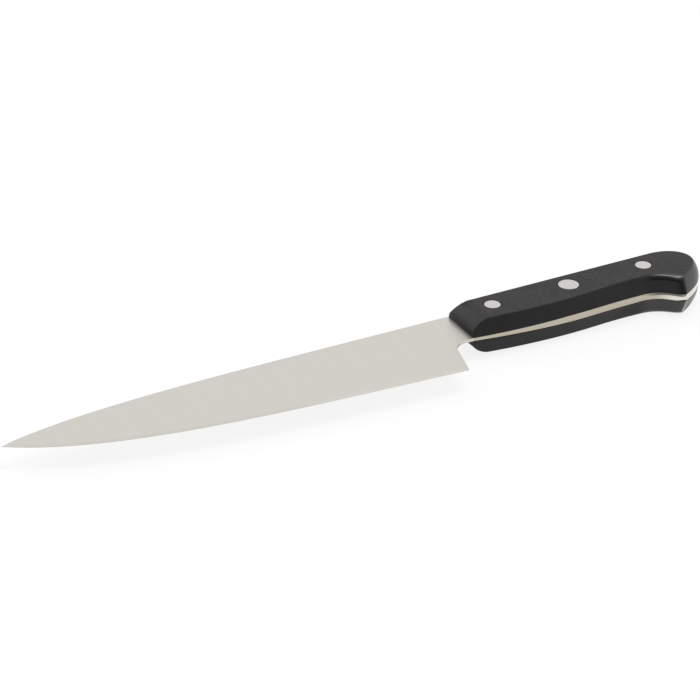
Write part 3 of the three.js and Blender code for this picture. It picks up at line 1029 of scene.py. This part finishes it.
class KNIFE_OT_scales(Operator):
    """Models the two moulded handle scales"""

    bl_idname = "knife.scales"
    bl_label = "Handle Scales"

    def execute(self, context):
        blade, handle = context.scene.knife_blade, context.scene.knife_handle
        rivets, finish = context.scene.knife_rivets, context.scene.knife_finish
        plan = SteelPlan(blade, handle)
        rings = self.rings(plan)
        left = stack_rings("left_scale", rings)
        left.data.materials.append(moulded_polymer(finish))
        left.data.materials.append(shaded_ground_polymer(finish, handle))
        # The walls take the ground polymer, whose darker base colour is painted shade
        for face in left.data.polygons:
            ahead = face.center.x < handle.ramp_run - handle.scale_front
            ramp = ahead and face.normal.x < RAMP_TILT and abs(face.normal.y) < RAMP_SIDE
            face.material_index = int(abs(face.normal.z) < FACE_NORMAL and not ramp)
        inset_caps(left, len(rings[0]), True, FACE_RIM)
        split_caps(left)
        cut(left, [self.bore(handle, rivets, i * rivets.spacing, place) for i, place in enumerate(RIVETS)])
        right = left.copy()
        right.data = left.data.copy()
        right.name = right.data.name = "right_scale"
        context.scene.collection.objects.link(right)
        select_only(right)
        bpy.ops.object.mode_set(mode="EDIT")
        bpy.ops.mesh.select_all(action="SELECT")
        bpy.ops.transform.resize(value=(1, 1, -1), center_override=(0, 0, 0))
        bpy.ops.mesh.normals_make_consistent(inside=False)
        bpy.ops.object.mode_set(mode="OBJECT")
        settle(left, "left_handle_scale")
        settle(right, "right_handle_scale")
        return {"FINISHED"}

    def ramp_front(self, handle, depth):
        """How far the ramp has come back at a depth below the outer face."""
        if depth >= handle.ramp_rise:
            return 0.0
        foot = handle.ramp_foot_lead * heading(handle.ramp_foot)
        crest = Vector((handle.ramp_run, handle.ramp_rise))
        lean = crest - Vector((handle.ramp_crest_lead, 0))
        low, high = 0.0, 1.0
        for _ in range(RAMP_HALVINGS):
            t = (low + high) / 2
            spot = 3 * t * (1 - t) ** 2 * foot + 3 * t * t * (1 - t) * lean + t**3 * crest
            if handle.ramp_rise - spot.y > depth:
                low = t
            else:
                high = t
        return spot.x

    def depths(self, handle, height):
        """Levels of a scale, as depths below its outer face, from the tang up."""
        found = [mix(height, handle.ramp_rise, share) for share in WALL_LEVELS]
        found += [handle.ramp_rise * (1 - (i / RAMP_STEPS)) for i in range(RAMP_STEPS)]
        for radius in (handle.face_round, handle.hook_round):
            found += [radius * (1 - math.sin(turn)) for turn in quarter_turn(ROUND_STEPS)]
        kept = []
        for depth in sorted(found, reverse=True):
            if not kept or kept[-1] - depth > LEAST_LEVEL:
                kept.append(depth)
        return kept

    def inset(self, radius, depth):
        """How far a rounding has come in at a depth below the outer face."""
        over = max(radius - depth, 0.0)
        return radius - math.sqrt(radius * radius - over * over)

    def outline(self, plan, rise, front, depth):
        """Plan outline at one level, and which of its points are on the front."""
        blade, handle = plan.blade, plan.handle
        radius = handle.corner_round
        spine = Vector((front, blade.spine_height - handle.spine_draft * rise))
        belly = Vector((front, -belly_depth(handle, front, rise)))
        first = front + CORNER_ROOM * radius
        run = []
        for i in range(CURVE_STEPS):
            x = mix(first, handle.belly_reach, i / CURVE_STEPS)
            run.append(Vector((x, -belly_depth(handle, x, rise))))
        waist, hook, butt = handle_curves(blade, handle, rise)
        crisp = self.inset(handle.face_round, depth)
        hollow = self.inset(handle.hook_round, depth) - handle.hook_swell * rise
        toe = Vector((handle.hook_toe_lead, -handle.hook_toe_rise)).normalized()
        rear = heading(handle.butt_angle)
        slide = (hollow - crisp) / (rear.y * toe.x - rear.x * toe.y)
        face = rounded(spine + Vector((1, 0)), spine, belly, radius, CORNER_STEPS)
        face += rounded(spine, belly, run[CORNER_SIGHT], radius, CORNER_STEPS)
        back = straight(butt[-1], Vector((first, butt[-1].y)), SPINE_RUN_STEPS)[1:]
        lead = (butt[1] - butt[0]).length * BUTT_STEPS
        butt = self.shortened(butt, slide / lead)
        swell = handle.butt_bulge * 4 * rise * (1 - rise)
        steps = []
        for i in range(len(butt)):
            place = i / BUTT_STEPS
            swollen = eased_share(0, SWELL_FULL, place) * eased_share(1, SWELL_FALL, place)
            steps.append(crisp - swell * swollen)
        steps += [crisp] * len(back + face + run)
        for i in range(len(waist) + len(hook) - 1):
            steps.append(mix(crisp, hollow, eased_share(-HOLLOW_BLEND, HOLLOW_BLEND, i / CURVE_STEPS - 1)))
        chain = butt + back + face + run + waist + hook[1:]
        first_on_face = len(butt + back)
        moved = self.stepped_in(chain, steps, range(first_on_face, first_on_face + len(face)), closed=False)
        reach = slide * rear.dot(toe)
        for i in range(1, len(hook)):
            moved[i - len(hook)] += toe * reach * eased_share(PULL_START, 1, i / CURVE_STEPS)
        return moved[first_on_face:-1] + moved[:first_on_face], range(len(face))

    def shortened(self, points, share):
        """A curve's points moved along it, so that they start later, or before its start on its tangent."""
        count = len(points) - 1
        moved = []
        for i in range(count + 1):
            place = mix(share * count, count, i / count)
            index = min(max(int(place), 0), count - 1)
            moved.append(points[index] + (points[index + 1] - points[index]) * (place - index))
        return moved

    def rings(self, plan):
        """Rings of a scale, from its edge at the tang to its outer face."""
        handle = plan.handle
        half_tang = plan.blade.tang / 2
        height = face_height(handle, -handle.scale_front) - half_tang
        base, ahead = self.outline(plan, 0, -handle.scale_front, height)
        eased = self.stepped_in(base, [handle.foot_ease] * len(base), ())
        bed = self.stepped_in(base, [handle.bed_margin] * len(base), ahead)
        for p in bed:
            p.x += handle.bed_margin * (1 - share_of(-handle.scale_front, handle.belly_reach, p.x))
        relief = half_tang + handle.bedding_gap + handle.bed_relief
        rings = [[Vector((*p, relief)) for p in bed]]
        for foot, lift in ((bed, 0), (eased, 0), (base, handle.foot_ease)):
            rings.append([Vector((*p, plan.half_thickness(*p) + handle.bedding_gap + lift)) for p in foot])
        for depth in self.depths(handle, height):
            rise = 1 - depth / height
            points, _ = self.outline(plan, rise, self.ramp_front(handle, depth) - handle.scale_front, depth)
            rings.append([Vector((*p, mix(half_tang, face_height(handle, p.x), rise))) for p in points])
        return rings

    def stepped_in(self, points, steps, ahead, closed=True):
        """Points of an outline moved inwards. Those ahead, on the front, move only across the knife."""
        last = len(points) - 1
        moved = []
        for i, (point, step) in enumerate(zip(points, steps)):
            before = points[i - 1] if closed else points[max(i - 1, 0)]
            after = points[(i + 1) % len(points)] if closed else points[min(i + 1, last)]
            along = (after - before).normalized()
            if i in ahead:
                across = point.y / max(abs(points[ahead[0]].y), abs(points[ahead[-1]].y))
                moved.append(Vector((point.x, point.y - step * across)))
            else:
                moved.append(point + step * Vector((-along.y, along.x)))
        return moved

    def bore(self, handle, rivets, x, place):
        """Cutter for a rivet's counterbored hole."""
        head = head_radius(rivets, place) + rivets.head_clearance
        hole = rivets.sleeve + rivets.shank_clearance
        top = face_height(handle, x)
        seat = top - rivets.head_recess - rivets.head_thickness - rivets.head_clearance
        return turned("bore", x, [(hole, -MM), (hole, seat), (head, seat), (head, top + MM)])


class KNIFE_OT_rivets(Operator):
    """Models the pin and sleeve halves of the three rivets"""

    bl_idname = "knife.rivets"
    bl_label = "Rivets"

    def execute(self, context):
        handle, rivets = context.scene.knife_handle, context.scene.knife_rivets
        finish = context.scene.knife_finish
        steel = ground_steel("satin_rivet", SATIN_RIVET, finish.rivet_dark, finish.rivet_light)
        for i, place in enumerate(RIVETS):
            head = head_radius(rivets, place)
            x = i * rivets.spacing
            top = face_height(handle, x) - rivets.head_recess
            halves = (
                ("pin", turned(f"{place}_pin", x, self.pin(rivets, head, top)), True),
                ("sleeve", turned(f"{place}_sleeve", x, self.sleeve(rivets, head, top)), False),
            )
            for half, piece, upward in halves:
                inset_caps(piece, ROUND_SIDES, upward, HEAD_RIM)
                piece.data.materials.append(steel)
                settle(piece, f"{place}_rivet_{half}")
        return {"FINISHED"}

    def rim(self, rivets, head, top):
        """Rounded rim of a head, from its side to its outer face."""
        radius = rivets.head_round
        found = []
        for turn in quarter_turn(HEAD_STEPS):
            found.append((head - radius * (1 - math.cos(turn)), top - radius * (1 - math.sin(turn))))
        return found

    def pin(self, rivets, head, top):
        """Profile of the half whose pin goes into the sleeve."""
        seat = top - rivets.head_thickness
        end = rivets.end_gap - seat
        start = [(rivets.pin - rivets.head_round, end), (rivets.pin, end + rivets.head_round)]
        return start + [(rivets.pin, seat), (head, seat)] + self.rim(rivets, head, top)

    def sleeve(self, rivets, head, top):
        """Profile of the half whose sleeve takes the pin, from its outer face up and back down its bore."""
        seat = top - rivets.head_thickness
        mouth = seat - rivets.end_gap
        bore = rivets.pin + rivets.pin_clearance
        outer = [(radius, -z) for radius, z in reversed(self.rim(rivets, head, top))]
        return outer + [
            (head, -seat), (rivets.sleeve, -seat), (rivets.sleeve, mouth), (bore, mouth), (bore, -seat),
        ]


class KNIFE_OT_stage(Operator):
    """Sets the floor, the light and the camera"""

    bl_idname = "knife.stage"
    bl_label = "Studio"

    def execute(self, context):
        studio = context.scene.knife_studio
        self.floor(context, studio)
        self.light(context, studio)
        self.camera(context, studio)
        context.scene.view_settings.view_transform = "Standard"
        return {"FINISHED"}

    def seen(self, tree):
        """1 for rays from the camera, and for those that metal mirrors or glass lets through."""
        path = add_node(tree, "ShaderNodeLightPath")
        kinds = [path.outputs[name] for name in ("Is Camera Ray", "Is Glossy Ray", "Is Transmission Ray")]
        return arithmetic(tree, "MAXIMUM", arithmetic(tree, "MAXIMUM", kinds[0], kinds[1]), kinds[2])

    def floor(self, context, studio):
        """A pale floor that keeps the knife's shadow."""
        bpy.ops.object.select_all(action="DESELECT")
        bpy.ops.mesh.primitive_plane_add(size=studio.floor_size, location=(0, 0, cad_box[0].z))
        floor = context.object
        floor.name = "studio_floor"
        material = bpy.data.materials.new("studio_floor")
        material.use_nodes = True
        tree = material.node_tree
        tree.nodes.clear()
        matt = add_node(tree, "ShaderNodeBsdfDiffuse")
        matt.inputs["Color"].default_value = (*studio.floor_colour, 1)
        white = add_node(tree, "ShaderNodeEmission")
        blend = add_node(tree, "ShaderNodeMixShader")
        leave = add_node(tree, "ShaderNodeOutputMaterial")
        tree.links.new(arithmetic(tree, "MULTIPLY", self.seen(tree), studio.floor_white), blend.inputs[0])
        tree.links.new(matt.outputs[0], blend.inputs[1])
        tree.links.new(white.outputs[0], blend.inputs[2])
        tree.links.new(blend.outputs[0], leave.inputs[0])
        floor.data.materials.append(material)

    def light(self, context, studio):
        """A white tent that is darker on the camera's side, and two soft lamps."""
        world = bpy.data.worlds.new("studio_world")
        world.use_nodes = True
        tree = world.node_tree
        tree.nodes.clear()
        place = add_node(tree, "ShaderNodeTexCoord")
        side = add_node(tree, "ShaderNodeVectorMath", operation="DOT_PRODUCT")
        side.inputs[1].default_value = Vector(studio.dark_towards).normalized()
        tree.links.new(place.outputs["Generated"], side.inputs[0])
        levels = (studio.world_light, studio.world_dark)
        strength = ranged(tree, side.outputs["Value"], studio.dark_start, studio.dark_end, *levels)
        tent = add_node(tree, "ShaderNodeBackground")
        tent.inputs["Color"].default_value = (1, 1, 1, 1)
        tree.links.new(strength, tent.inputs["Strength"])
        leave = add_node(tree, "ShaderNodeOutputWorld")
        tree.links.new(tent.outputs[0], leave.inputs[0])
        context.scene.world = world
        key = (studio.key_towards, studio.key_size, studio.key_energy)
        fill = (studio.fill_towards, studio.fill_size, studio.fill_energy)
        lamps = []
        for name, values in (("key_lamp", key), ("fill_lamp", fill)):
            lamps.append(self.lamp(context, name, studio.lamp_distance, *values))
        self.keep_off_steel(context, lamps)

    def keep_off_steel(self, context, lamps):
        """Lets the steel mirror the tent alone, because a lamp that it mirrors burns it out from there."""
        steel = bpy.data.collections.new("mirrors_no_lamp")
        for piece in context.scene.objects:
            finishes = piece.data.materials if piece.type == "MESH" else ()
            if any(finish.name in STEEL_FINISHES for finish in finishes if finish):
                steel.objects.link(piece)
        for member in steel.collection_objects:
            member.light_linking.link_state = "EXCLUDE"
        for lamp in lamps:
            lamp.light_linking.receiver_collection = steel

    def lamp(self, context, name, distance, towards, size, energy):
        """A square soft lamp that looks at the middle of the knife."""
        light = bpy.data.lights.new(name, "AREA")
        light.energy = energy
        light.shape = "SQUARE"
        light.size = size
        lamp = bpy.data.objects.new(name, light)
        context.scene.collection.objects.link(lamp)
        towards = Vector(towards).normalized()
        lamp.location = (cad_box[0] + cad_box[1]) / 2 + towards * distance
        lamp.rotation_euler = towards.to_track_quat("Z", "Y").to_euler()
        return lamp

    def camera(self, context, studio):
        """The photograph's viewpoint, for a square frame."""
        a, e = studio.azimuth, studio.elevation
        back = Vector((math.sin(a) * math.cos(e), -math.cos(a) * math.cos(e), math.sin(e)))
        right = Vector((math.cos(a), math.sin(a), 0))
        up = back.cross(right)
        c, s = math.cos(studio.roll), math.sin(studio.roll)
        right, up = right * c + up * s, up * c - right * s
        lens = bpy.data.cameras.new("camera")
        lens.lens = studio.lens
        lens.sensor_width = SENSOR_WIDTH
        camera = bpy.data.objects.new("camera", lens)
        context.scene.collection.objects.link(camera)
        aim = ORIGIN + Vector((studio.aim_x, studio.aim_y, 0))
        turn = Matrix((right, up, back)).transposed().to_4x4()
        camera.matrix_world = Matrix.Translation(aim + back * studio.distance) @ turn
        context.scene.camera = camera


class KNIFE_PT_panel(Panel):
    """Lists the pieces and the studio"""

    bl_idname = "KNIFE_PT_panel"
    bl_label = "Cook's Knife"
    bl_space_type = "VIEW_3D"
    bl_region_type = "UI"
    bl_category = "Knife"

    def draw(self, context):
        layout = self.layout
        for operator in OPERATORS:
            layout.operator(operator.bl_idname)
        for group in SETTINGS:
            settings = getattr(context.scene, group)
            box = layout.box()
            box.label(text=group.replace("_", " ").capitalize())
            for name in settings.__annotations__:
                box.prop(settings, name)


SETTINGS = {
    "knife_blade": KnifeBlade,
    "knife_handle": KnifeHandle,
    "knife_rivets": KnifeRivets,
    "knife_finish": KnifeFinish,
    "knife_studio": KnifeStudio,
}
OPERATORS = (KNIFE_OT_steel, KNIFE_OT_scales, KNIFE_OT_rivets, KNIFE_OT_stage)


def register():
    """Registers the settings, the operators and the panel."""
    for name, group in SETTINGS.items():
        bpy.utils.register_class(group)
        setattr(bpy.types.Scene, name, PointerProperty(type=group))
    for operator in OPERATORS:
        bpy.utils.register_class(operator)
    bpy.utils.register_class(KNIFE_PT_panel)


def unregister():
    """Takes back what register added."""
    bpy.utils.unregister_class(KNIFE_PT_panel)
    for operator in reversed(OPERATORS):
        bpy.utils.unregister_class(operator)
    for name, group in SETTINGS.items():
        delattr(bpy.types.Scene, name)
        bpy.utils.unregister_class(group)


def main():
    """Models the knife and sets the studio."""
    register()
    bpy.ops.knife.steel()
    bpy.ops.knife.scales()
    bpy.ops.knife.rivets()
    bpy.ops.knife.stage()


if __name__ == "__main__":
    main()
